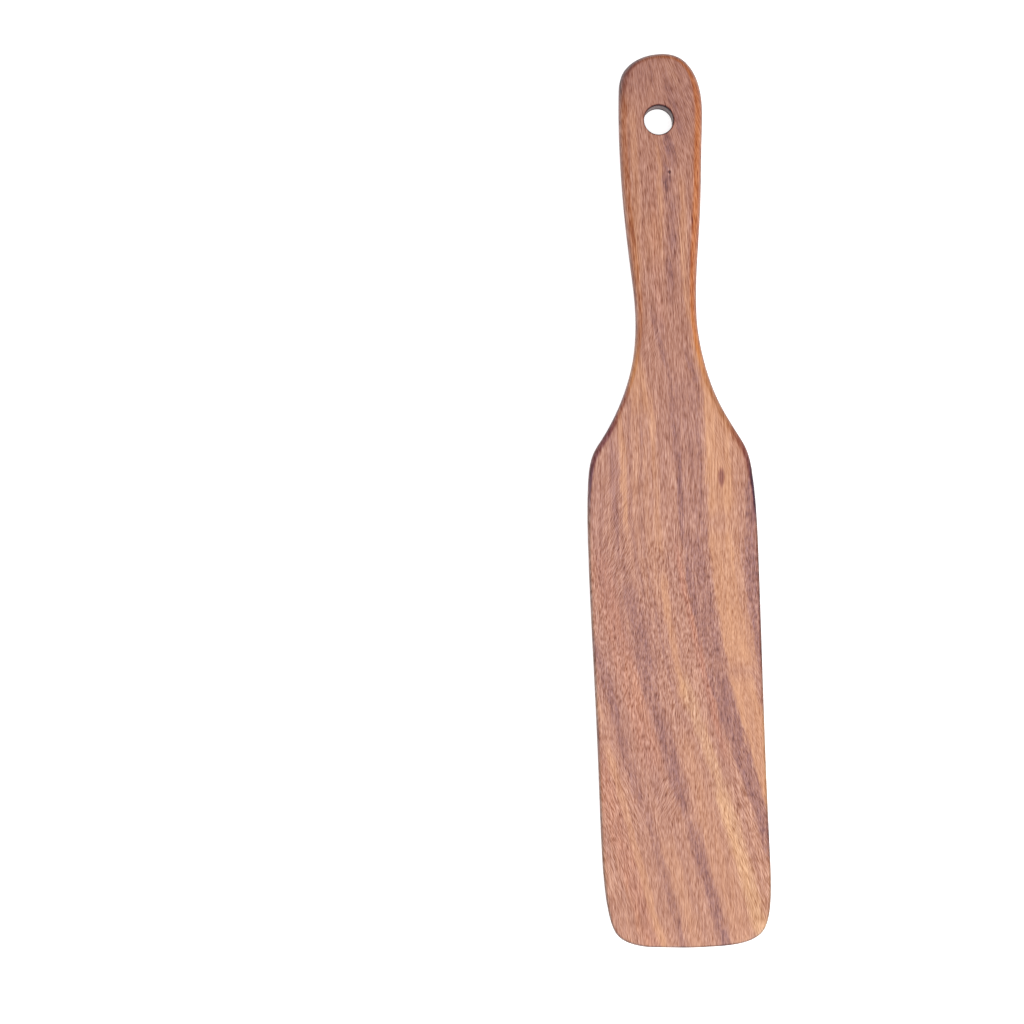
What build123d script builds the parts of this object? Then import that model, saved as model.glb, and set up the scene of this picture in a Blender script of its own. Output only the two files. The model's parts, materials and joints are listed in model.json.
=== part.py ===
from build123d import *

import os

# A wooden offset spatula: one board of hardwood, cut to a handle and a long blade.
#
# Millimetres. +Y runs from the blade's tip to the end of the handle, +X to the right when the
# handle points away, and +Z is up. The spatula lies on its flat back on the plane z = 0, and the
# origin is the middle of its outline there.
#
# The board is three stretches that meet on planes across the grain:
#   handle    constant thickness, one large round-over all the way round, and the hanging hole
#   shoulder  a loft that widens, thins and loses the large round-over on its way to the blade
#   blade     tapers in thickness to the tip, where its face has a low bevel; a small round-over
# They are joined to one solid, because the real spatula is a single piece of wood.

# Overall size
LENGTH = 330.0
TOP_Y = LENGTH / 2
TIP_Y = -LENGTH / 2

# Thickness of the board, and the round-over of its long edges
HANDLE_THICKNESS = 9.0
ROOT_THICKNESS = 6.0
MIDDLE_THICKNESS = 4.85
BEVEL_TOP_THICKNESS = 3.4
TIP_THICKNESS = 2.2
HANDLE_ROUND = 3.6
BLADE_ROUND = 0.9

# The planes where the three stretches meet, and the line across the tip where its bevel starts
NECK_Y = 69.0
ROOT_Y = -22.0
BEVEL_Y = TIP_Y + 7.5
SHOULDER_SECTIONS = 15

# The sides run parallel at both planes. Half-widths there, left and right of the middle line
NECK_LEFT, NECK_RIGHT = 11.0, 11.5
ROOT_LEFT, ROOT_RIGHT = 31.5, 31.1

# Hanging hole, drilled straight through the handle
HOLE_RADIUS = 5.4
HOLE_X, HOLE_Y = 0.0, 140.3
HOLE_EASE = 0.3

# The end of the handle is shaped by hand: its highest point is a little to the right
HANDLE_LEFT = [
    (-NECK_LEFT, NECK_Y),
    (-12.1, 86.0),
    (-13.6, 104.0),
    (-14.6, 132.0),
    (-14.2, 150.0),
    (-12.5, 158.3),
    (-7.5, 162.9),
    (1.8, TOP_Y),
]
HANDLE_RIGHT = [
    (1.8, TOP_Y),
    (9.0, 163.1),
    (13.4, 158.1),
    (15.8, 151.0),
    (15.9, 135.0),
    (14.2, 106.0),
    (12.2, 85.0),
    (NECK_RIGHT, NECK_Y),
]

# The shoulder's sides are two S-curves that differ a little
SHOULDER_LEFT = [
    (-NECK_LEFT, NECK_Y),
    (-12.8, 51.5),
    (-17.85, 36.8),
    (-24.3, 25.2),
    (-28.9, 17.5),
    (-30.55, 9.0),
    (-ROOT_LEFT, ROOT_Y),
]
SHOULDER_RIGHT = [
    (NECK_RIGHT, NECK_Y),
    (13.6, 51.5),
    (18.3, 36.8),
    (24.6, 25.0),
    (28.4, 17.5),
    (30.0, 9.0),
    (ROOT_RIGHT, ROOT_Y),
]

# The blade narrows slightly on its left, and its tip is bowed with rounded corners
BLADE_LEFT = [
    (-ROOT_LEFT, ROOT_Y),
    (-31.0, -66.0),
    (-30.65, -116.0),
    (-29.8, -144.0),
    (-28.2, -154.0),
    (-25.6, -159.8),
    (-21.3, -162.8),
    (-11.0, -164.4),
    (3.0, TIP_Y),
]
BLADE_RIGHT = [
    (3.0, TIP_Y),
    (14.0, -164.7),
    (22.3, -163.3),
    (27.4, -160.3),
    (30.15, -154.4),
    (31.35, -145.0),
    (31.4, -126.0),
    (31.05, -76.0),
    (ROOT_RIGHT, ROOT_Y),
]

UP, DOWN, ACROSS = (0, 1), (0, -1), (1, 0)


def curve(points, start, finish):
    """A smooth curve through the points that leaves and arrives in the given directions."""
    return Spline(*points, tangents=[start, finish], tangent_scalars=(1, 1))


def smooth_step(share):
    """0 up to share 0, 1 from share 1, and level at both ends."""
    share = min(max(share, 0.0), 1.0)
    return share * share * (3 - 2 * share)


def up_shoulder(y):
    """How far up the shoulder y is: 0 at the blade's root, 1 at the neck."""
    return (y - ROOT_Y) / (NECK_Y - ROOT_Y)


def shoulder_thickness(y):
    return ROOT_THICKNESS + (HANDLE_THICKNESS - ROOT_THICKNESS) * smooth_step(up_shoulder(y))


def shoulder_round(y):
    """The large round-over is whole along the neck and fades out at the blade's corners."""
    whole = smooth_step((up_shoulder(y) - 0.22) / 0.5)
    return BLADE_ROUND + (HANDLE_ROUND - BLADE_ROUND) * whole


def crossing(side, y):
    """The x at which one side of the shoulder is level with y, found by halving its length."""
    low, high = 0.0, 1.0
    for _ in range(40):
        middle = (low + high) / 2
        if (side @ middle).Y > y:
            low = middle
        else:
            high = middle
    return (side @ low).X


def shoulder_section(left_side, right_side, y):
    """The cross-section at y: a rounded rectangle that stands on z = 0."""
    left, right = crossing(left_side, y), crossing(right_side, y)
    thickness = shoulder_thickness(y)
    centre = ((left + right) / 2, y, thickness / 2)
    plane = Plane(origin=centre, x_dir=(1, 0, 0), z_dir=(0, -1, 0))
    return plane * RectangleRounded(right - left, thickness, shoulder_round(y))


def board_between(left_side, right_side, thickness):
    """A board between two sides that meet at its end and a straight joint across the grain."""
    joint = Line(right_side @ 1, left_side @ 0)
    return extrude(make_face(Wire([left_side, right_side, joint])), thickness)


def rounded(board, joint_y, radius):
    """Rounds the edges that run round the face and the back, but not those of the joint."""
    on_joint = board.edges().filter_by_position(Axis.Y, joint_y - 0.01, joint_y + 0.01)
    upright = board.edges().filter_by(Axis.Z)
    return fillet(board.edges() - on_joint - upright, radius)


def make_handle():
    left_side = curve(HANDLE_LEFT, UP, ACROSS)
    right_side = curve(HANDLE_RIGHT, ACROSS, DOWN)
    return rounded(board_between(left_side, right_side, HANDLE_THICKNESS), NECK_Y, HANDLE_ROUND)


def make_shoulder():
    left_side = curve(SHOULDER_LEFT, DOWN, DOWN)
    right_side = curve(SHOULDER_RIGHT, DOWN, DOWN)
    spacing = (NECK_Y - ROOT_Y) / (SHOULDER_SECTIONS - 1)
    levels = [NECK_Y - spacing * number for number in range(SHOULDER_SECTIONS)]
    return loft([shoulder_section(left_side, right_side, y) for y in levels])


def blade_profile():
    """The blade from its side: its face leaves the root level and falls evenly to the bevel."""
    beyond = 1.0
    bevel_fall = (BEVEL_TOP_THICKNESS - TIP_THICKNESS) / (BEVEL_Y - TIP_Y)
    root, ridge = (ROOT_Y, ROOT_THICKNESS), (BEVEL_Y, BEVEL_TOP_THICKNESS)
    face_line = curve([root, ((ROOT_Y + BEVEL_Y) / 2, MIDDLE_THICKNESS), ridge], (-1, 0), (-1, -0.024))
    bevel_line = Line(ridge, (TIP_Y - beyond, TIP_THICKNESS - beyond * bevel_fall))
    back = Polyline(bevel_line @ 1, (TIP_Y - beyond, 0), (ROOT_Y, 0), root)
    return Plane.YZ * make_face(Wire([face_line, bevel_line, *back.edges()]))


def make_blade():
    left_side = curve(BLADE_LEFT, DOWN, ACROSS)
    right_side = curve(BLADE_RIGHT, ACROSS, UP)
    board = board_between(left_side, right_side, ROOT_THICKNESS)
    board = board & extrude(blade_profile(), LENGTH, both=True)
    return rounded(board, ROOT_Y, BLADE_ROUND)


def drill_hanging_hole(body):
    """Drills the hole and eases its two rims."""
    drill = Pos(HOLE_X, HOLE_Y, HANDLE_THICKNESS / 2) * Cylinder(HOLE_RADIUS, 2 * HANDLE_THICKNESS)
    body = body - drill
    rims = body.edges().filter_by(GeomType.CIRCLE).filter_by(lambda edge: edge.radius > 5)
    return fillet(rims, HOLE_EASE)


def make_spatula():
    return drill_hanging_hole(make_handle() + make_shoulder() + make_blade())


os.makedirs("parts", exist_ok=True)
export_step(make_spatula(), "parts/wooden_spatula.step")
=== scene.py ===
import json
import math

import bmesh
import bpy
import numpy as np
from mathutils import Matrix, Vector
from mathutils.bvhtree import BVHTree


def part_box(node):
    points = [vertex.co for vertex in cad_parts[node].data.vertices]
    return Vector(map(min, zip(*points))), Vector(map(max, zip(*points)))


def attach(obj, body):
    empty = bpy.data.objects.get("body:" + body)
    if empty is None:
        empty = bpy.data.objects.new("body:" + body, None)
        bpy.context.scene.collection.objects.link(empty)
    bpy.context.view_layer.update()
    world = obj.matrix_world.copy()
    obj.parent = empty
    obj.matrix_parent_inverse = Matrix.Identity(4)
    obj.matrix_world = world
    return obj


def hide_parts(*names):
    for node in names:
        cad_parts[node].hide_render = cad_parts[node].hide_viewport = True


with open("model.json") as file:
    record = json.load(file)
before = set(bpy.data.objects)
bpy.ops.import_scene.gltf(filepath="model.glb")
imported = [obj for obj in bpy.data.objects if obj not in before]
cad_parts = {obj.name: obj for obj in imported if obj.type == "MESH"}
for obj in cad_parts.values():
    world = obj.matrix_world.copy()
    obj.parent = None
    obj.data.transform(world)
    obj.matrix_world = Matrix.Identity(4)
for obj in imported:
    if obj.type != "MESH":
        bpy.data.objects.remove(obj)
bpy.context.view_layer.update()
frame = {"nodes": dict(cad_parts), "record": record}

# A one-piece wooden spatula on a pale floor. Metres, in the frame of the CAD model: +Y towards the
# end of the handle, +X to the right, +Z up out of the face, and the flat back on z = 0.

NODE = "wooden_spatula"
MM = 0.001
CAD = frame["nodes"][NODE]
CAD_LOW, CAD_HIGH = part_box(NODE)
HOLE = next(mount for mount in frame["record"]["mounts"] if mount["name"] == "hanging_hole")
HOLE_X, HOLE_Y = HOLE["pos_m"][:2]
HOLE_RADIUS = HOLE["dims"]["r_mm"] * MM

# Cells of the mesh: across the width, along the length, over one rounded edge, and round the hole
ACROSS, ALONG, OVER_EDGE, AROUND_HOLE = 52, 380, 9, 96

# The rounded edges at some levels, in mm: y, how far they reach in over the face on the left and on
# the right, and how far down the side. They are widest along the handle, and again where the
# shoulder turns into the blade
ROUNDING = np.array([
    (-165.0, 1.0, 1.0, 0.80),
    (-145.0, 1.3, 1.3, 0.95),
    (-20.0, 1.3, 1.3, 0.95),
    (4.0, 1.7, 1.8, 1.30),
    (20.0, 3.4, 4.6, 2.10),
    (36.0, 1.9, 3.4, 2.30),
    (55.0, 2.5, 2.9, 2.80),
    (76.0, 4.0, 3.4, 3.50),
    (100.0, 4.3, 4.4, 3.70),
    (165.0, 4.3, 4.7, 3.70),
])
# From this y on they reach in less and less, down to this share at the end of the handle
END_FROM, END_SHARE = 146.0 * MM, 0.5
# The share by which an uneven sander changes how far they reach in and down
REACH_SWAY, DROP_SWAY = 0.10, 0.05
# Sanding leaves the face slightly crowned, on the blade less than on the handle, and the back less
# than the face. It changes from the one to the other between these two levels of y
BLADE_CROWN, HANDLE_CROWN, BACK_SHARE = 0.10 * MM, 0.22 * MM, 0.6
CROWN_FROM, CROWN_TO = -10.0 * MM, 40.0 * MM
# The skin stays this little inside the CAD's box
INSIDE = 0.02 * MM
# The bevel across the tip, and the stretch above it where the thickness is smoothed more and more
BEVEL_LENGTH, BEVEL_BLEND = 7.5 * MM, 12.0 * MM
# How far the hole's rims are eased, and how far its cutter stands out of the board
HOLE_EASE, CUTTER_OVER = 0.4 * MM, 0.5 * MM
SHARP_FROM = math.radians(40)


# ------------------------------------------------------------------ the shape, from the CAD node

def smooth_step(share):
    share = np.clip(share, 0.0, 1.0)
    return share * share * (3 - 2 * share)


def near_hole(x, y):
    return math.hypot(x - HOLE_X, y - HOLE_Y) < 1.3 * HOLE_RADIUS


def side_wall_points():
    """Where the CAD's upright side wall stands, seen from above, once round the outline."""
    mesh = CAD.data
    places = set()
    for face in mesh.polygons:
        upright = abs(face.normal.z) < 0.003
        if not upright:
            continue
        for index in face.vertices:
            x, y = mesh.vertices[index].co.xy
            if not near_hole(x, y):
                places.add((round(x, 6), round(y, 6)))
    places = np.array(sorted(places, key=lambda place: place[1]))
    low, high = places[0], places[-1]
    middle = low[0] + (high[0] - low[0]) * (places[:, 1] - low[1]) / (high[1] - low[1])
    right = places[places[:, 0] >= middle]
    left = places[places[:, 0] < middle]
    return np.vstack([right, left[::-1]])


def closed_curve(points, steps=10, closest=0.35 * MM):
    """A smooth closed curve through the points, as a dense line whose last point is its first.

    A point that is closer than `closest` to the one before it is left out.
    """
    points = np.vstack([points, points[:1]])
    gaps = np.linalg.norm(np.diff(points, axis=0), axis=1)
    keep = np.concatenate([[True], gaps > closest])
    keep[-1] = True
    points = points[keep]
    gaps = np.linalg.norm(np.diff(points, axis=0), axis=1)[:, None]
    slopes = np.diff(points, axis=0) / gaps
    before, after = np.roll(gaps, 1, axis=0), gaps
    bend = (after * np.roll(slopes, 1, axis=0) + before * slopes) / (before + after)
    bend = np.vstack([bend, bend[:1]])
    t = (np.arange(steps) / steps)[:, None]
    line = []
    for k in range(len(gaps)):
        start, end = points[k], points[k + 1]
        leave, arrive = bend[k] * gaps[k], bend[k + 1] * gaps[k]
        line.append(
            (2 * t**3 - 3 * t**2 + 1) * start + (t**3 - 2 * t**2 + t) * leave
            + (3 * t**2 - 2 * t**3) * end + (t**3 - t**2) * arrive
        )
    return np.vstack([*line, points[-1:]])


def evenly(line, count):
    """The line, as count + 1 points evenly spaced along its length."""
    run = np.concatenate([[0.0], np.cumsum(np.linalg.norm(np.diff(line, axis=0), axis=1))])
    wanted = np.linspace(0.0, run[-1], count + 1)
    return np.column_stack([np.interp(wanted, run, line[:, k]) for k in (0, 1)])


def outline():
    """The outline anticlockwise from the tip's left corner: tip, right side, handle end, left side."""
    line = closed_curve(side_wall_points())[:-1]
    corners = [(-1, -1), (1, -1), (1, 1), (-1, 1)]
    places = [int(np.argmax(line @ np.array(corner))) for corner in corners]
    line = np.roll(line, -places[0], axis=0)
    places = [(place - places[0]) % len(line) for place in places] + [len(line)]
    line = np.vstack([line, line[:1]])
    counts = [ACROSS, ALONG, ACROSS, ALONG]
    stretches = [
        evenly(line[start:end + 1], count)[:-1]
        for start, end, count in zip(places[:-1], places[1:], counts)
    ]
    return np.vstack(stretches)


def inward_normals(ring):
    forward = np.roll(ring, -1, axis=0) - np.roll(ring, 1, axis=0)
    forward /= np.linalg.norm(forward, axis=1)[:, None]
    return np.column_stack([-forward[:, 1], forward[:, 0]])


class Thickness:
    """The board's thickness along its length, felt from above down the CAD's middle line."""

    def __init__(self):
        tree = BVHTree.FromPolygons(
            [vertex.co for vertex in CAD.data.vertices], [face.vertices for face in CAD.data.polygons]
        )
        # Starts and stops short of the rounded ends
        self.y = np.arange(CAD_LOW.y + 2 * MM, CAD_HIGH.y - 6 * MM, 0.5 * MM)
        found = []
        for y in self.y:
            hit = tree.ray_cast(Vector((self.clear_of_hole(y), y, 1.0)), Vector((0, 0, -1)))[0]
            found.append(hit.z)
        found = np.array(found)
        kernel = np.exp(-0.5 * (np.arange(-20, 21) / 8) ** 2)
        smooth = np.convolve(np.pad(found, 20, mode="edge"), kernel / kernel.sum(), mode="valid")
        off_bevel = smooth_step((self.y - CAD_LOW.y - BEVEL_LENGTH) / BEVEL_BLEND)
        self.z = found + (smooth - found) * off_bevel

    def clear_of_hole(self, y):
        return HOLE_X + 1.25 * HOLE_RADIUS if near_hole(HOLE_X, y) else 0.0

    def at(self, y):
        fall = (self.z[4] - self.z[0]) / (self.y[4] - self.y[0])
        inside = np.interp(y, self.y, self.z)
        return np.where(y < self.y[0], self.z[0] + (y - self.y[0]) * fall, inside)


def sway(run, turns, phase):
    """A slow unevenness of a hand-held sander, about -1 to 1, that closes after one round."""
    return sum(
        math.cos(phase + turn) * np.sin(2 * math.pi * turn * run + phase * turn) / (1 + k)
        for k, turn in enumerate(turns)
    ) / 1.5


def edge_sizes(ring):
    """How far the rounding reaches in and drops down at each point of the outline."""
    y = ring[:, 1]
    run = np.arange(len(ring)) / len(ring)
    on_right = smooth_step((ring[:, 0] + 6 * MM) / (12 * MM))
    levels = ROUNDING[:, 0] * MM
    left, right, drop = (np.interp(y, levels, column * MM) for column in ROUNDING[:, 1:].T)
    at_end = smooth_step((y - END_FROM) / (CAD_HIGH.y - END_FROM))
    reach = (left + (right - left) * on_right) * (1 + (END_SHARE - 1) * at_end)
    reach = reach * (1 + REACH_SWAY * sway(run, (5, 9, 14), 0.7))
    drop = drop * (1 - DROP_SWAY * (1 + sway(run, (4, 7, 13), 2.1)) / 2)
    return reach, drop


def crown(x, y, half_width):
    """How far a crowned face falls, x being counted from its middle."""
    on_handle = smooth_step((y - CROWN_FROM) / (CROWN_TO - CROWN_FROM))
    deep = BLADE_CROWN + (HANDLE_CROWN - BLADE_CROWN) * on_handle
    return deep * np.clip(np.abs(x) / half_width, 0, 1) ** 2.4


def half_width_at(ring):
    """A function that gives half the outline's width, and its middle, at any y."""
    right = ring[: ACROSS // 2 + ALONG + ACROSS // 2 + 1]
    rest = ring[ACROSS // 2 + ALONG + ACROSS // 2:]
    right, left = right[np.argsort(right[:, 1])], rest[np.argsort(rest[:, 1])]
    right = right[right[:, 0] > 0]
    left = left[left[:, 0] < 0]

    def measure(y):
        high = np.interp(y, right[:, 1], right[:, 0])
        low = np.interp(y, left[:, 1], left[:, 0])
        return (high - low) / 2, (high + low) / 2

    return measure


def patch(ring):
    """Fills a closed ring of points with a grid that follows its four sides."""
    tip = ring[: ACROSS + 1]
    right = ring[ACROSS: ACROSS + ALONG + 1]
    end = ring[ACROSS + ALONG: 2 * ACROSS + ALONG + 1][::-1]
    left = np.vstack([ring[2 * ACROSS + ALONG:], ring[:1]])[::-1]
    u = np.linspace(0, 1, ACROSS + 1)[:, None, None]
    v = np.linspace(0, 1, ALONG + 1)[None, :, None]
    sides = (1 - v) * tip[:, None] + v * end[:, None] + (1 - u) * left[None] + u * right[None]
    corners = (
        (1 - u) * (1 - v) * tip[0] + u * (1 - v) * tip[-1]
        + (1 - u) * v * end[0] + u * v * end[-1]
    )
    return sides - corners


def ring_places():
    """The grid cell of each point of a ring, in the ring's order."""
    places = [(i, 0) for i in range(ACROSS)]
    places += [(ACROSS, j) for j in range(ALONG)]
    places += [(i, ALONG) for i in range(ACROSS, 0, -1)]
    places += [(0, j) for j in range(ALONG, 0, -1)]
    return places


def board_mesh():
    """The board without its hole: a patch for the face, one for the back, and rings between."""
    ring = outline()
    inward = inward_normals(ring)
    ring = ring + inward * INSIDE
    thickness = Thickness()
    reach, drop = edge_sizes(ring)
    measure = half_width_at(ring)
    bend = np.linspace(0, math.pi / 2, OVER_EDGE + 1)

    def crown_fall(places):
        half, middle = measure(places[..., 1])
        return crown(places[..., 0] - middle, places[..., 1], half)

    def face_height(places):
        return thickness.at(places[..., 1]) - crown_fall(places) - INSIDE

    def back_height(places):
        return crown_fall(places) * BACK_SHARE

    # The rings, from the rim of the face down and round to the rim of the back
    rings, heights = [], []
    for height_of, angles, way in ((face_height, bend[::-1], -1), (back_height, bend, 1)):
        for angle in angles:
            places = ring + inward * (reach * (1 - math.cos(angle)))[:, None]
            rings.append(places)
            heights.append(height_of(places) + way * drop * (1 - math.sin(angle)))

    vertices = [np.column_stack([places, height]) for places, height in zip(rings, heights)]
    faces = []
    around = len(ring)
    for k in range(len(rings) - 1):
        for j in range(around):
            after = (j + 1) % around
            a, b = k * around + j, k * around + after
            faces.append((a, a + around, b + around, b))
    total = around * len(rings)

    for level, height_of, flip in ((0, face_height, False), (len(rings) - 1, back_height, True)):
        grid = patch(rings[level])
        number = np.full((ACROSS + 1, ALONG + 1), -1)
        for j, place in enumerate(ring_places()):
            number[place] = level * around + j
        inner = grid[1:-1, 1:-1].reshape(-1, 2)
        number[1:-1, 1:-1] = total + np.arange(len(inner)).reshape(ACROSS - 1, ALONG - 1)
        vertices.append(np.column_stack([inner, height_of(inner)]))
        total += len(inner)
        for i in range(ACROSS):
            for j in range(ALONG):
                cell = (number[i, j], number[i + 1, j], number[i + 1, j + 1], number[i, j + 1])
                faces.append(tuple(int(n) for n in (cell[::-1] if flip else cell)))

    mesh = bpy.data.meshes.new("board")
    mesh.from_pydata(np.vstack(vertices).tolist(), [], faces)
    mesh.validate()
    return mesh


def hole_cutter():
    """A turned cutter for the hanging hole, which flares at both ends to ease the rims."""
    flare = math.radians(14)
    rim = [
        (HOLE_RADIUS + HOLE_EASE * (1 - math.sin(angle)), HOLE_EASE * (1 - math.cos(angle)))
        for angle in np.linspace(flare, math.pi / 2, 7)
    ]
    start_radius, start_height = rim[0]
    outer = (start_radius + (start_height + CUTTER_OVER) / math.tan(flare), -CUTTER_OVER)
    low_half = [(0.0, -CUTTER_OVER), outer, *rim]
    high_half = [(radius, CAD_HIGH.z - height) for radius, height in reversed(low_half)]
    cutter = bmesh.new()
    points = [cutter.verts.new((radius, 0, height)) for radius, height in low_half + high_half]
    edges = [cutter.edges.new(pair) for pair in zip(points[:-1], points[1:])]
    bmesh.ops.spin(
        cutter,
        geom=points + edges,
        cent=(0, 0, 0),
        axis=(0, 0, 1),
        angle=2 * math.pi,
        steps=AROUND_HOLE,
    )
    bmesh.ops.remove_doubles(cutter, verts=cutter.verts, dist=1e-7)
    bmesh.ops.recalc_face_normals(cutter, faces=cutter.faces)
    bmesh.ops.translate(cutter, verts=cutter.verts, vec=(HOLE_X, HOLE_Y, 0))
    return to_mesh("hole_cutter", cutter)


def to_mesh(name, shape):
    mesh = bpy.data.meshes.new(name)
    shape.to_mesh(mesh)
    shape.free()
    return mesh


def add_object(name, data):
    thing = bpy.data.objects.new(name, data)
    bpy.context.scene.collection.objects.link(thing)
    return thing


def make_spatula():
    spatula = add_object("spatula_wood", board_mesh())
    cutter = add_object("hole_cutter", hole_cutter())
    drill = spatula.modifiers.new("hole", "BOOLEAN")
    drill.operation = "DIFFERENCE"
    drill.solver = "EXACT"
    drill.object = cutter
    bpy.context.view_layer.update()
    drilled = spatula.evaluated_get(bpy.context.evaluated_depsgraph_get())
    mesh = bpy.data.meshes.new_from_object(drilled)
    spatula.modifiers.clear()
    spatula.data = mesh
    bpy.data.objects.remove(cutter)
    mesh.shade_smooth()
    mesh.set_sharp_from_angle(angle=SHARP_FROM)
    return spatula


# ------------------------------------------------------------------ fields of numbers, from nodes

class Field:
    """A number at every point of the wood, built up from nodes with + - * / and a few shapes."""

    def __init__(self, tree, socket):
        self.tree = tree
        self.socket = socket

    def _math(self, operation, *others, clamp=False):
        node = self.tree.nodes.new("ShaderNodeMath")
        node.operation = operation
        node.use_clamp = clamp
        for slot, value in zip(node.inputs, (self, *others)):
            plug(self.tree, value, slot)
        return Field(self.tree, node.outputs[0])

    def __add__(self, other):
        return self._math("ADD", other)

    def __sub__(self, other):
        return self._math("SUBTRACT", other)

    def __mul__(self, other):
        return self._math("MULTIPLY", other)

    def __truediv__(self, other):
        return self._math("DIVIDE", other)

    def __abs__(self):
        return self._math("ABSOLUTE")

    def above(self, level):
        """How far the number is above the level, and 0 below it."""
        return (self - level)._math("MAXIMUM", 0.0)

    def most(self, other):
        return self._math("MAXIMUM", other)

    def root(self):
        return self._math("SQRT")

    def clamped(self):
        return self._math("ADD", 0.0, clamp=True)

    def rise(self, start, end, low=0.0, high=1.0):
        """A smooth change from low to high while the number goes from start to end."""
        node = self.tree.nodes.new("ShaderNodeMapRange")
        node.interpolation_type = "SMOOTHSTEP"
        for name, value in (("From Min", start), ("From Max", end), ("To Min", low), ("To Max", high)):
            node.inputs[name].default_value = value
        plug(self.tree, self, node.inputs["Value"])
        return Field(self.tree, node.outputs["Result"])

    def outside(self):
        """1 where the number is 0, and 0 where it is 1."""
        return self.rise(0.0, 1.0, 1.0, 0.0)


def plug(tree, value, slot):
    if isinstance(value, Field):
        tree.links.new(value.socket, slot)
    elif isinstance(value, bpy.types.NodeSocket):
        tree.links.new(value, slot)
    else:
        slot.default_value = value


def split(tree, socket):
    node = tree.nodes.new("ShaderNodeSeparateXYZ")
    tree.links.new(socket, node.inputs[0])
    return [Field(tree, part) for part in node.outputs]


def vector(tree, x, y, z):
    node = tree.nodes.new("ShaderNodeCombineXYZ")
    for slot, value in zip(node.inputs, (x, y, z)):
        plug(tree, value, slot)
    return node.outputs[0]


def noise(tree, place, detail=2.0, roughness=0.5):
    """Smooth noise between about -1 and 1. place is three fields, each in units of one feature."""
    node = tree.nodes.new("ShaderNodeTexNoise")
    node.inputs["Scale"].default_value = 1.0
    node.inputs["Detail"].default_value = detail
    node.inputs["Roughness"].default_value = roughness
    tree.links.new(vector(tree, *place), node.inputs["Vector"])
    return (Field(tree, node.outputs["Fac"]) - 0.5) * 3.0


def tint(tree, colour, amount, change):
    """The colour moved by amount times change, channel by channel."""
    node = tree.nodes.new("ShaderNodeVectorMath")
    node.operation = "MULTIPLY_ADD"
    plug(tree, amount, node.inputs[0])
    node.inputs[1].default_value = change
    plug(tree, colour, node.inputs[2])
    return node.outputs[0]


def oval_share(x, y, centre_x, centre_y, half_x, half_y):
    """1 at the centre of an oval, and 0 from its border outwards."""
    across = (x - centre_x) / half_x
    along = (y - centre_y) / half_y
    return (across * across + along * along).root().rise(0.35, 1.0, 1.0, 0.0)


def ovals_share(x, y, ovals):
    """The most that a point belongs to any of the ovals."""
    total = oval_share(x, y, *ovals[0])
    for oval in ovals[1:]:
        total = total.most(oval_share(x, y, *oval))
    return total


# ------------------------------------------------------------------ the figure of the wood

# In this section and the next, lengths are in mm, and colours are red, green and blue as a screen
# shows them

# The oiled wood's own colour, and how the parts of the figure change it
BASE = (0.647, 0.440, 0.360)
DARK = (-0.105, -0.093, -0.050)
TAN = (0.085, 0.070, 0.014)
YELLOW = (0.100, 0.108, 0.046)
RED = (0.018, -0.030, -0.050)
# Marks and lines, streaks, broad bands, the handle, the blade's lower half, the knot, the eye's ring
# The fine marks and lines, whose light and dark are nearly grey: partly the grain's pores and fibres,
# partly painted glints of the face's sheen
GRAIN_AND_GLINTS = (0.056, 0.063, 0.068)
BROWN = (0.068, 0.064, 0.046)
BANDED = (0.070, 0.063, 0.030)
HANDLE_DARKER = (-0.024, -0.032, -0.036)
LOWER = (0.012, 0.010, -0.002)
KNOTTED = (-0.21, -0.23, -0.17)
EYE_RINGED = (0.09, 0.11, 0.12)

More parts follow.
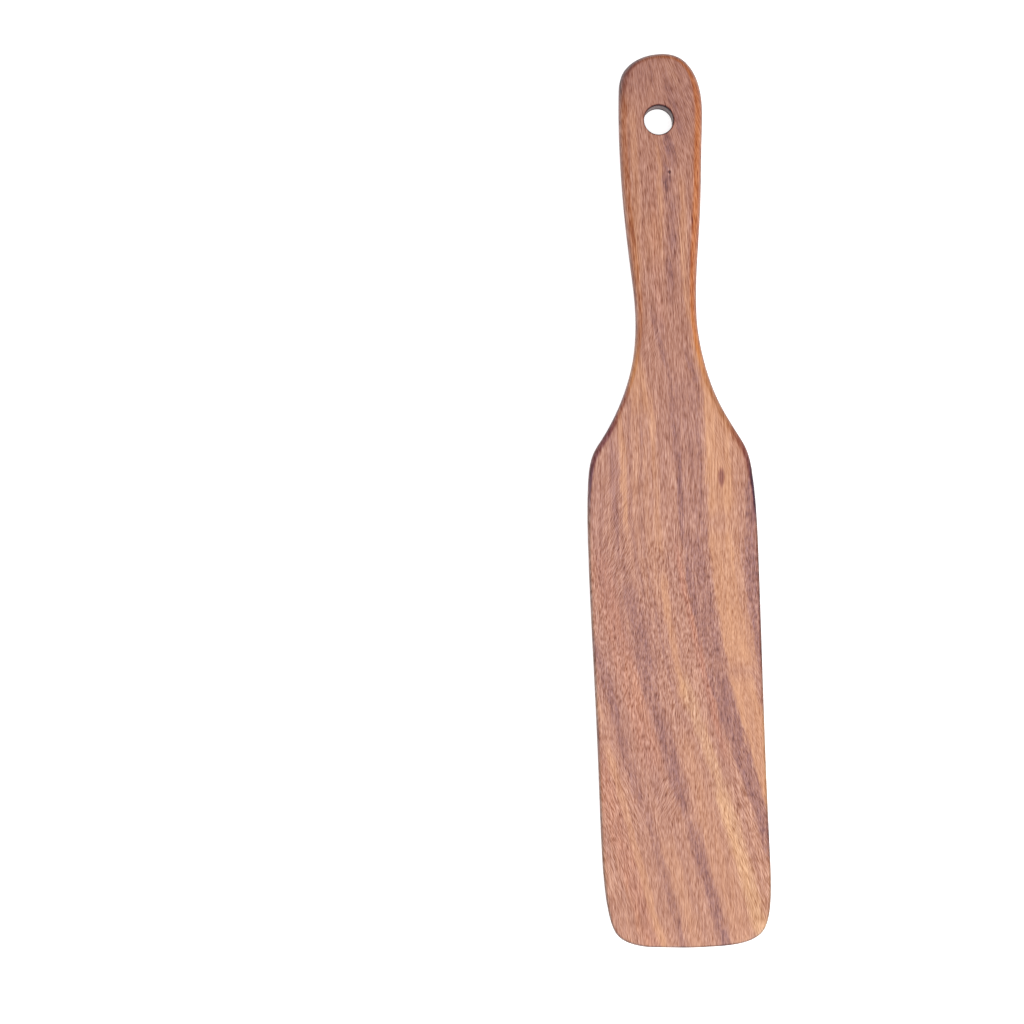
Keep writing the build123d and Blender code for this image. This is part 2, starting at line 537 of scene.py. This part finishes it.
# The bands of the figure, read across the grain: place across at y = 0, its shift for each mm towards
# the tip, half-width, blur, the y where it starts and ends, and how strong it is
DARK_BANDS = [
    ("heart line in the neck", 2.4, 0.0, 1.0, 1.4, 76, 12, 0.85),
    ("heart line, upper", 3.5, 0.0, 0.9, 1.0, 26, -22, 1.20),
    ("heart line, middle", 4.6, -0.052, 1.3, 1.4, -14, -62, 1.00),
    ("heart line, lower", -2.1, 0.060, 1.5, 1.8, -56, -150, 1.15),
    ("line right of the heart", 11.2, 0.0, 0.9, 1.0, 62, -22, 0.75),
    ("handle streak, top", 12.9, 0.0, 1.5, 2.0, 144, 118, 1.25),
    ("handle streak, upper", 10.8, 0.0, 1.6, 2.2, 130, 106, 1.35),
    ("handle streak, middle", 11.8, 0.0, 1.4, 2.2, 118, 84, 0.85),
    ("handle streak, lower", 10.4, 0.0, 1.3, 2.0, 96, 68, 0.90),
    ("handle streak, foot", 4.4, 0.0, 1.2, 2.0, 76, 56, 0.60),
    ("veil between the heart line and the next", 7.4, 0.0, 4.2, 1.2, 52, -14, 0.36),
    ("veil beside the heart line", 8.6, -0.060, 3.2, 1.6, -6, -66, 0.74),
    ("veil beside the lower heart line", 4.0, 0.015, 2.8, 1.8, -56, -150, 0.92),
    ("left band, upper", -20.8, 0.0, 1.5, 4.0, 30, -34, 0.58),
    ("left band, middle", -20.3, 0.0, 2.2, 3.2, -24, -70, 1.00),
    ("left band", -21.8, 0.0, 2.3, 3.2, -46, -122, 1.00),
    ("left band, lower", -21.2, 0.0, 2.2, 3.2, -112, -175, 1.10),
    ("veil left of the left band", -26.5, 0.0, 3.6, 2.4, 22, -62, 0.22),
    ("far left band", -37.4, 0.0, 1.5, 2.6, -44, -118, 0.92),
    ("far left band, lower", -36.4, 0.0, 1.3, 2.6, -106, -175, 0.72),
    ("left shoulder line", -11.0, -0.045, 0.7, 1.3, 52, -80, 0.50),
    ("second shoulder line", -14.6, -0.030, 0.5, 1.0, 44, -60, 0.40),
    ("right edge band", 29.6, -0.130, 2.2, 1.8, 24, -70, 1.10),
    ("handle's right line", 14.4, 0.0, 0.5, 1.0, 118, 70, 0.30),
    ("line beside the hole", 18.8, 0.0, 1.2, 1.6, 163, 128, 0.85),
    ("line above the hole", 12.0, 0.0, 1.0, 1.6, 172, 146, 0.70),
    ("left line above the hole", 4.4, 0.0, 0.8, 1.6, 168, 144, 0.45),
]
TAN_BANDS = [
    ("broad light band", 18.1, 0.0, 4.6, 1.4, 66, -12, 0.95),
    ("broad light band, lower", 18.0, -0.075, 4.4, 1.6, -4, -68, 0.95),
    ("broad light band, lowest", 12.3, 0.0, 4.4, 1.8, -58, -130, 0.90),
    ("paler right half of the broad light band", 20.6, -0.090, 4.6, 2.4, 50, -70, 0.50),
    ("left shoulder light", -17.0, 0.0, 0.9, 1.3, 46, -14, 0.75),
    ("left neck light", -10.0, 0.0, 3.6, 3.0, 76, 26, 0.80),
    ("handle's broad light", 5.0, 0.0, 3.4, 3.4, 112, 82, 0.42),
    ("light field by the left shoulder", -11.0, 0.0, 3.6, 3.0, 44, -44, 0.32),
    ("light left of the heart, upper", -5.5, 0.0, 1.1, 2.2, 46, -26, 0.62),
    ("light left of the heart", -4.3, -0.090, 1.4, 2.4, -20, -80, 0.85),
    ("handle's left light", -1.2, 0.0, 1.4, 1.8, 150, 78, 0.55),
    ("light left of the streak", 8.0, 0.0, 0.7, 1.6, 138, 84, 0.75),
    ("handle's right light", 15.8, 0.0, 1.2, 2.2, 124, 58, 0.65),
    ("lower left light", -44.0, 0.0, 1.4, 2.0, -84, -175, 0.65),
    ("left edge light", -43.0, 0.0, 1.2, 1.6, -66, -84, 0.65),
    ("light right of the far left band", -31.5, 0.0, 2.4, 4.0, -120, -175, 0.45),
    ("light right of the left band", -14.5, 0.0, 3.6, 4.0, -80, -175, 0.45),
]
YELLOW_BANDS = [
    ("yellow band, upper", -12.6, 0.060, 2.2, 2.8, -58, -118, 0.70),
    ("yellow band", -6.3, 0.0, 3.0, 3.8, -98, -185, 0.92),
    ("spot by the handle's end", 22.0, 0.0, 1.2, 1.0, 164, 150, 0.5),
]
RED_BANDS = [
    ("lower left red", -48.5, 0.0, 3.0, 3.0, -84, -175, 0.40),
    ("left red", -28.6, 0.0, 3.8, 3.6, -12, -104, 0.38),
    ("handle red", 5.6, 0.0, 1.4, 2.4, 128, 58, 0.22),
    ("red beside the heart line", 0.6, -0.020, 1.2, 1.8, -10, -100, 0.60),
]
BAND_FADE = 12.0

# Ovals: centre x and y, half-width and half-length
LEANS_LEFT = [(-20.5, -12.0, 9.0, 44.0), (-6.0, 58.0, 6.0, 12.0), (-6.0, -108.0, 7.0, 12.0)]
LEANS_RIGHT = [(30.0, -110.0, 24.0, 75.0), (-24.0, -118.0, 15.0, 48.0), (21.0, 26.0, 10.0, 26.0)]
DARK_BY_HOLE = (7.0, 148.0, 12.0, 22.0)
DARK_AT_END = (-7.0, 160.0, 12.0, 14.0)
KNOT = (18.3, 8.5, 1.7, 4.6)
EYE = (3.2, 121.0, 1.8, 2.2)
PUPIL = (3.2, 121.0, 0.8, 0.9)

# How far the fibres shift sideways for each mm along the board, in upright grain and in both leans
UPRIGHT, TO_LEFT, TO_RIGHT = 0.0, -0.42, 0.30


def end_lean(x, y):
    """How far the grain has shifted where it leans round the hanging hole."""
    up = y.above(122.0)
    return up * up / (up + 10.0) * 0.3 * x.rise(-12.0, 4.0)


def stream(x, y):
    """A coordinate that is the same all along one band of the figure: x on the blade's root.

    The bands lean to the right down the blade and step sideways in the neck.
    """
    down = (y * -1.0 - 5.0).above(0.0)
    blade_lean = down * down / (down + 25.0) * 0.25
    neck_step = y.rise(38.0, 78.0, 0.0, 7.0)
    return x - blade_lean + neck_step + end_lean(x, y)


def band_share(figure, y, bands):
    """How much each point belongs to any of the bands, 0 to the band's strength."""
    total = None
    for _name, place, shift, half, blur, start, end, strength in bands:
        off = abs(figure + y * shift - place)
        share = off.rise(half - blur * 0.5, half + blur * 0.5, strength, 0.0)
        share = share * y.rise(start - BAND_FADE, start, 1.0, 0.0) * y.rise(end, end + BAND_FADE)
        total = share if total is None else total.most(share)
    return total


def lean_shares(x, y):
    """Where the fibres lean to the left down the board, and where they lean to the right."""
    left = ovals_share(x, y, LEANS_LEFT)
    right = y.rise(-105.0, -140.0, 0.0, 0.35).most(ovals_share(x, y, LEANS_RIGHT))
    return left, right * left.outside()


def mark_lengths(y):
    """The place along the board, counted in marks, which are longer above the shoulder and at the tip."""
    down = y * -1.0
    return y * 0.52 + y.above(-15.0) * -0.17 + down.above(75.0) * 0.10 + down.above(125.0) * 0.10


def fibre_marks(tree, across, run, z):
    """Light and dark marks along fibres: fine hairs and, a little larger, dashes."""
    hairs = noise(tree, (across / 0.28, run, z / 0.8), detail=1.0, roughness=0.4)
    dashes = noise(tree, (across / 0.46, run / 1.9, z / 0.9))
    return hairs, dashes


class Grain:
    """Everything in the wood that follows its grain, as fields."""

    def __init__(self, tree, x, y, z):
        # The coordinate of the broad figure, made ragged
        figure = stream(x, y) + (z - 5.0) * 0.35
        ragged = noise(tree, (figure / 5.0, y / 26.0, z / 9.0), detail=3.0) * 0.6
        ragged = ragged + noise(tree, (figure / 1.5, y / 7.0, z / 3.0), roughness=0.6) * 0.8
        figure = figure + ragged

        # Interlocked grain: the fibres weave from side to side as they run, and lean in broad patches
        weave = noise(tree, (x / 6.0, y / 12.0, z / 5.0), detail=1.0) * y.rise(-60.0, 60.0, 0.50, 0.20)
        fibre = x + end_lean(x, y) + y.above(20.0) * 0.035 + (y * -1.0).above(-20.0) * 0.03 + weave
        self.weave = weave
        left, right = lean_shares(x, y)
        upright = (left + right) * -1.0 + 1.0
        run = mark_lengths(y)
        marks = [fibre_marks(tree, fibre + y * lean, run, z) for lean in (UPRIGHT, TO_LEFT, TO_RIGHT)]
        self.hairs, self.dashes = (
            plain * upright + to_left * left + to_right * right
            for plain, to_left, to_right in zip(*marks)
        )

        self.lines = noise(tree, (fibre / 0.34, y / 11.0, z / 2.0), detail=1.0, roughness=0.6)
        across_streaks = fibre / 1.5 + figure * 0.1
        self.streaks = noise(tree, (across_streaks, y / 16.0, z / 2.0), detail=3.0, roughness=0.65)
        self.flecks = noise(tree, (fibre / 0.75, y / 2.2, z / 2.0), roughness=0.6)
        self.wide = noise(tree, (figure / 3.2, y / 40.0, z / 6.0))
        self.banded = figure + self.dashes * 0.6
        self.pores = (self.hairs * 0.6 + self.dashes * 0.6 + self.lines * 0.4).rise(-0.30, -0.80)


def face_colour(tree, grain, x, y):
    """The colour of the sawn face: the bands of the figure, then streaks, lines and fine marks."""
    tan = band_share(grain.banded, y, TAN_BANDS)
    yellow = band_share(grain.banded, y, YELLOW_BANDS)
    red = band_share(grain.banded, y, RED_BANDS) * (grain.streaks * 0.7 + 0.9)
    dark = band_share(grain.banded, y, DARK_BANDS)
    dark = dark.most(oval_share(x, y, *DARK_BY_HOLE) * 0.4)
    dark = dark.most(oval_share(x, y, *DARK_AT_END) * 0.45)
    broken = grain.flecks.rise(0.15, -0.45) * 0.62 + grain.streaks * -0.35 + 0.68
    colour = vector(tree, *BASE)
    colour = tint(tree, colour, red, RED)
    colour = tint(tree, colour, tan, TAN)
    colour = tint(tree, colour, yellow, YELLOW)
    colour = tint(tree, colour, dark * broken, DARK)

    # Broad bands and streaks are calmer on the handle. Long fine lines are strongest from the
    # shoulder up to the middle of the handle
    calm = y.rise(20.0, 70.0, 1.0, 0.45)
    lined = y.rise(-40.0, 20.0, 1.1, 2.2) + y.rise(60.0, 90.0, 0.0, 0.5)
    lined = lined * y.rise(108.0, 125.0, 1.0, 0.5)
    colour = tint(tree, colour, grain.wide * calm * 0.5, BANDED)
    colour = tint(tree, colour, grain.streaks * calm * (dark * 0.3 + 1.0) * 0.70, BROWN)
    # Long fine lines: grain, and partly painted glints of the face's sheen
    colour = tint(tree, colour, grain.lines * lined, GRAIN_AND_GLINTS)

    # Fine marks are fainter in the tan bands, a little in the dark ones, and above the shoulder
    strokes = grain.hairs * 3.6 + grain.dashes * y.rise(-30.0, 40.0, 0.90, 0.70)
    strokes = strokes - strokes * strokes * 0.07 - grain.pores * 0.5
    contrast = tan * -0.45 + dark * -0.15 + 1.0
    contrast = contrast * (y.rise(-30.0, 30.0, 1.0, 0.70) + y.rise(60.0, 90.0, 0.0, 0.08))
    # Fine marks: pores and fibres, and partly painted glints of the face's sheen
    colour = tint(tree, colour, strokes * contrast, GRAIN_AND_GLINTS)
    # Darker towards the handle's end, and a little lighter towards the tip
    colour = tint(tree, colour, y.rise(10.0, 90.0), HANDLE_DARKER)
    colour = tint(tree, colour, y.rise(-80.0, -140.0), LOWER)

    colour = tint(tree, colour, oval_share(x + grain.weave * 0.5, y, *KNOT), KNOTTED)
    eye = oval_share(x, y, *EYE) - oval_share(x, y, *PUPIL) * 3.2
    return tint(tree, colour, eye, EYE_RINGED)


# ------------------------------------------------------------------ edges, ends and the hole

# How the colour changes on the rounded edges, on the blade's thin rim, on the upright sides, the end
# grain and in the hole. The rounded edges are painted warmer where the face's sheen would be
# missing, and painted more orange on the right, as light from that side would make them. The
# blade's rim, greyer and darker, and the darker upright sides are painted shade. Cut end grain
# drinks more oil and is darker. The bore is a little lighter, and its lips are darker: partly
# painted shade, partly end grain and drill burn
EDGE_PAINTED_NO_SHEEN, EDGE_RIGHT_PAINTED_LIGHT = (0.035, 0.010, -0.020), (0.020, -0.015, -0.060)
RIM_PAINTED_SHADE, RIM_RIGHT_PAINTED_SHADE = (-0.13, -0.025, 0.04), (-0.035, -0.025, 0.0)
SIDE_PAINTED_SHADE, END_GRAIN = (-0.17, -0.105, -0.045), (-0.08, -0.07, -0.05)
BORE, BORE_LIP_SHADE_AND_BURN = (0.05, 0.05, 0.04), (-0.26, -0.24, -0.20)

# Ovals where the rounded edges are darker, and by how much. Those on the shoulders are weaker on the
# upright sides
SHOULDER_EDGES = [
    ("left shoulder", (-30.0, 22.0, 13.0, 28.0), (-0.17, -0.158, -0.07)),
    ("right shoulder", (31.0, 15.0, 12.0, 28.0), (-0.19, -0.17, -0.08)),
]
OTHER_EDGES = [
    ("right of the neck", (21.0, 44.0, 13.0, 30.0), (-0.13, -0.065, 0.02)),
    ("left of the neck", (-21.0, 36.0, 10.0, 18.0), (-0.09, -0.08, -0.03)),
    ("left of the handle's end", (-16.0, 160.0, 14.0, 18.0), (-0.12, -0.08, -0.03)),
]
# Half the handle's thickness, at the middle of the hole's wall
MID_HEIGHT = 4.5


class Cuts:
    """How much each point belongs to the parts of the surface that are cut or rounded."""

    def __init__(self, x, y, z, facing):
        off_x = x - HOLE_X * 1000.0
        off_y = y - HOLE_Y * 1000.0
        wall = HOLE_RADIUS * 1000.0
        self.bore = (off_x * off_x + off_y * off_y).root().rise(wall + 0.15, wall + 0.6, 1.0, 0.0)
        self.lip = self.bore * abs(z - MID_HEIGHT).rise(1.8, 3.8)
        upness = abs(facing[2])
        self.side = upness.rise(0.80, 0.15)
        self.end_grain = abs(facing[1]).rise(0.12, 0.75)
        off_bore = self.bore.outside()
        # Over the board or under it, rather than at its side
        self.over = self.side.outside()
        self.edge = upness.rise(0.990, 0.92) * off_bore
        on_blade = y.rise(0.0, 30.0, 1.0, 0.0)
        self.rim = upness.rise(0.998, 0.88) * off_bore * on_blade * self.over
        self.on_right = x.rise(-4.0, 8.0)


def cut_colour(tree, colour, cuts, x, y):
    """The face's colour, changed where the surface is cut or rounded."""
    # Painted shade: the rounded edges are warmer, as if without the face's sheen, and painted light makes
    # those on the right more orange
    colour = tint(tree, colour, cuts.edge, EDGE_PAINTED_NO_SHEEN)
    colour = tint(tree, colour, cuts.edge * cuts.on_right, EDGE_RIGHT_PAINTED_LIGHT)
    for _name, oval, change in SHOULDER_EDGES:
        share = cuts.edge * oval_share(x, y, *oval) * (cuts.over * 0.7 + 0.3)
        colour = tint(tree, colour, share, change)
    for _name, oval, change in OTHER_EDGES:
        colour = tint(tree, colour, cuts.edge * oval_share(x, y, *oval), change)
    # Painted shade: the blade's thin rim is greyer and darker, more so on the right
    colour = tint(tree, colour, cuts.rim, RIM_PAINTED_SHADE)
    colour = tint(tree, colour, cuts.rim * cuts.on_right, RIM_RIGHT_PAINTED_SHADE)
    # Painted shade: the upright sides are darker
    colour = tint(tree, colour, cuts.side, SIDE_PAINTED_SHADE)
    colour = tint(tree, colour, cuts.end_grain, END_GRAIN)
    # The bore is a little lighter all over. Its lips are darker: partly painted shade, partly end grain
    # and drill burn
    colour = tint(tree, colour, cuts.bore, BORE)
    return tint(tree, colour, cuts.lip, BORE_LIP_SHADE_AND_BURN)


def wood_material():
    material = bpy.data.materials.new("oiled_wood")
    material.use_nodes = True
    tree = material.node_tree
    tree.nodes.clear()
    place = tree.nodes.new("ShaderNodeTexCoord")
    x, y, z = (part * 1000.0 for part in split(tree, place.outputs["Object"]))
    grain = Grain(tree, x, y, z)
    cuts = Cuts(x, y, z, split(tree, place.outputs["Normal"]))
    colour = cut_colour(tree, face_colour(tree, grain, x, y), cuts, x, y)

    # From the screen's colours to those that the shader takes
    gamma = tree.nodes.new("ShaderNodeGamma")
    gamma.inputs["Gamma"].default_value = 2.2
    tree.links.new(colour, gamma.inputs["Color"])

    relief = grain.pores * -1.0 + grain.dashes * 0.25 + grain.hairs * 0.2
    bump = tree.nodes.new("ShaderNodeBump")
    bump.inputs["Strength"].default_value = 0.4
    bump.inputs["Distance"].default_value = 0.05 * MM
    plug(tree, relief, bump.inputs["Height"])

    roughness = grain.dashes * 0.04 + grain.pores * 0.15 + cuts.lip * 0.45 + cuts.side * 0.12 + 0.36
    surface = tree.nodes.new("ShaderNodeBsdfPrincipled")
    surface.inputs["IOR"].default_value = 1.5
    tree.links.new(gamma.outputs[0], surface.inputs["Base Color"])
    plug(tree, roughness.clamped(), surface.inputs["Roughness"])
    tree.links.new(bump.outputs[0], surface.inputs["Normal"])
    output = tree.nodes.new("ShaderNodeOutputMaterial")
    tree.links.new(surface.outputs[0], output.inputs[0])
    return material


# ------------------------------------------------------------------ the studio

# The camera hangs straight over a point to the left of the spatula, turned a little, as the
# photograph was taken
CAMERA_PLACE = (-0.0591, -0.0014, 0.769)
CAMERA_TURN = math.radians(-2.126)
CAMERA_LENS = 72.92

# The floor glows a little, so that it is nearly white under soft light. It lies just under the back
FLOOR_RADIUS, FLOOR_HEIGHT, FLOOR_GLOW = 6.0, -0.0001, 0.75
DOME_RADIUS, DOME_GLOW = 5.9, 1.0
# Area lights that face the spatula: place, side length in metres, and power in watts
LIGHTS = [
    ("overhead_softbox", (0.10, -0.20, 1.5), 1.9, 22.0),
    ("key_light", (0.7, -1.3, 1.0), 0.9, 16.0),
]
WORLD_LIGHT = 0.35


def make_camera():
    data = bpy.data.cameras.new("camera")
    data.sensor_width = 36.0
    data.lens = CAMERA_LENS
    data.clip_start, data.clip_end = 0.01, 50.0
    camera = add_object("camera", data)
    camera.location = CAMERA_PLACE
    camera.rotation_euler = (0, 0, CAMERA_TURN)
    bpy.context.scene.camera = camera


def glowing_material(name, grey, glow):
    """A grey material that also glows white, and its shader."""
    material = bpy.data.materials.new(name)
    material.use_nodes = True
    surface = material.node_tree.nodes["Principled BSDF"]
    surface.inputs["Base Color"].default_value = (grey, grey, grey, 1)
    surface.inputs["Emission Color"].default_value = (1, 1, 1, 1)
    surface.inputs["Emission Strength"].default_value = glow
    return material, surface


def make_floor():
    disc = bmesh.new()
    bmesh.ops.create_circle(disc, cap_ends=True, segments=64, radius=FLOOR_RADIUS)
    floor = add_object("floor", to_mesh("floor", disc))
    floor.location.z = FLOOR_HEIGHT
    material, surface = glowing_material("pale_floor", 0.62, FLOOR_GLOW)
    surface.inputs["Roughness"].default_value = 0.9
    surface.inputs["Specular IOR Level"].default_value = 0.0
    floor.data.materials.append(material)


def make_backdrop():
    """A white dome behind everything, which only the camera sees and which lights nothing."""
    dome = bmesh.new()
    bmesh.ops.create_uvsphere(dome, u_segments=48, v_segments=24, radius=DOME_RADIUS)
    backdrop = add_object("backdrop", to_mesh("backdrop", dome))
    backdrop.visible_diffuse = False
    backdrop.visible_glossy = False
    backdrop.visible_shadow = False
    material, _surface = glowing_material("white_backdrop", 0.0, DOME_GLOW)
    backdrop.data.materials.append(material)


def make_light(name, place, size, power):
    data = bpy.data.lights.new(name, "AREA")
    data.shape = "SQUARE"
    data.size = size
    data.energy = power
    light = add_object(name, data)
    light.location = place
    light.rotation_euler = (-Vector(place)).to_track_quat("-Z", "Y").to_euler()


def make_studio():
    make_camera()
    make_floor()
    make_backdrop()
    for light in LIGHTS:
        make_light(*light)
    world = bpy.data.worlds.new("studio")
    world.use_nodes = True
    sky = world.node_tree.nodes["Background"]
    sky.inputs["Color"].default_value = (1, 1, 1, 1)
    sky.inputs["Strength"].default_value = WORLD_LIGHT
    scene = bpy.context.scene
    scene.world = world
    scene.view_settings.view_transform = "Standard"


make_studio()
spatula = make_spatula()
spatula.data.materials.clear()
spatula.data.materials.append(wood_material())
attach(spatula, "root")
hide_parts(NODE)
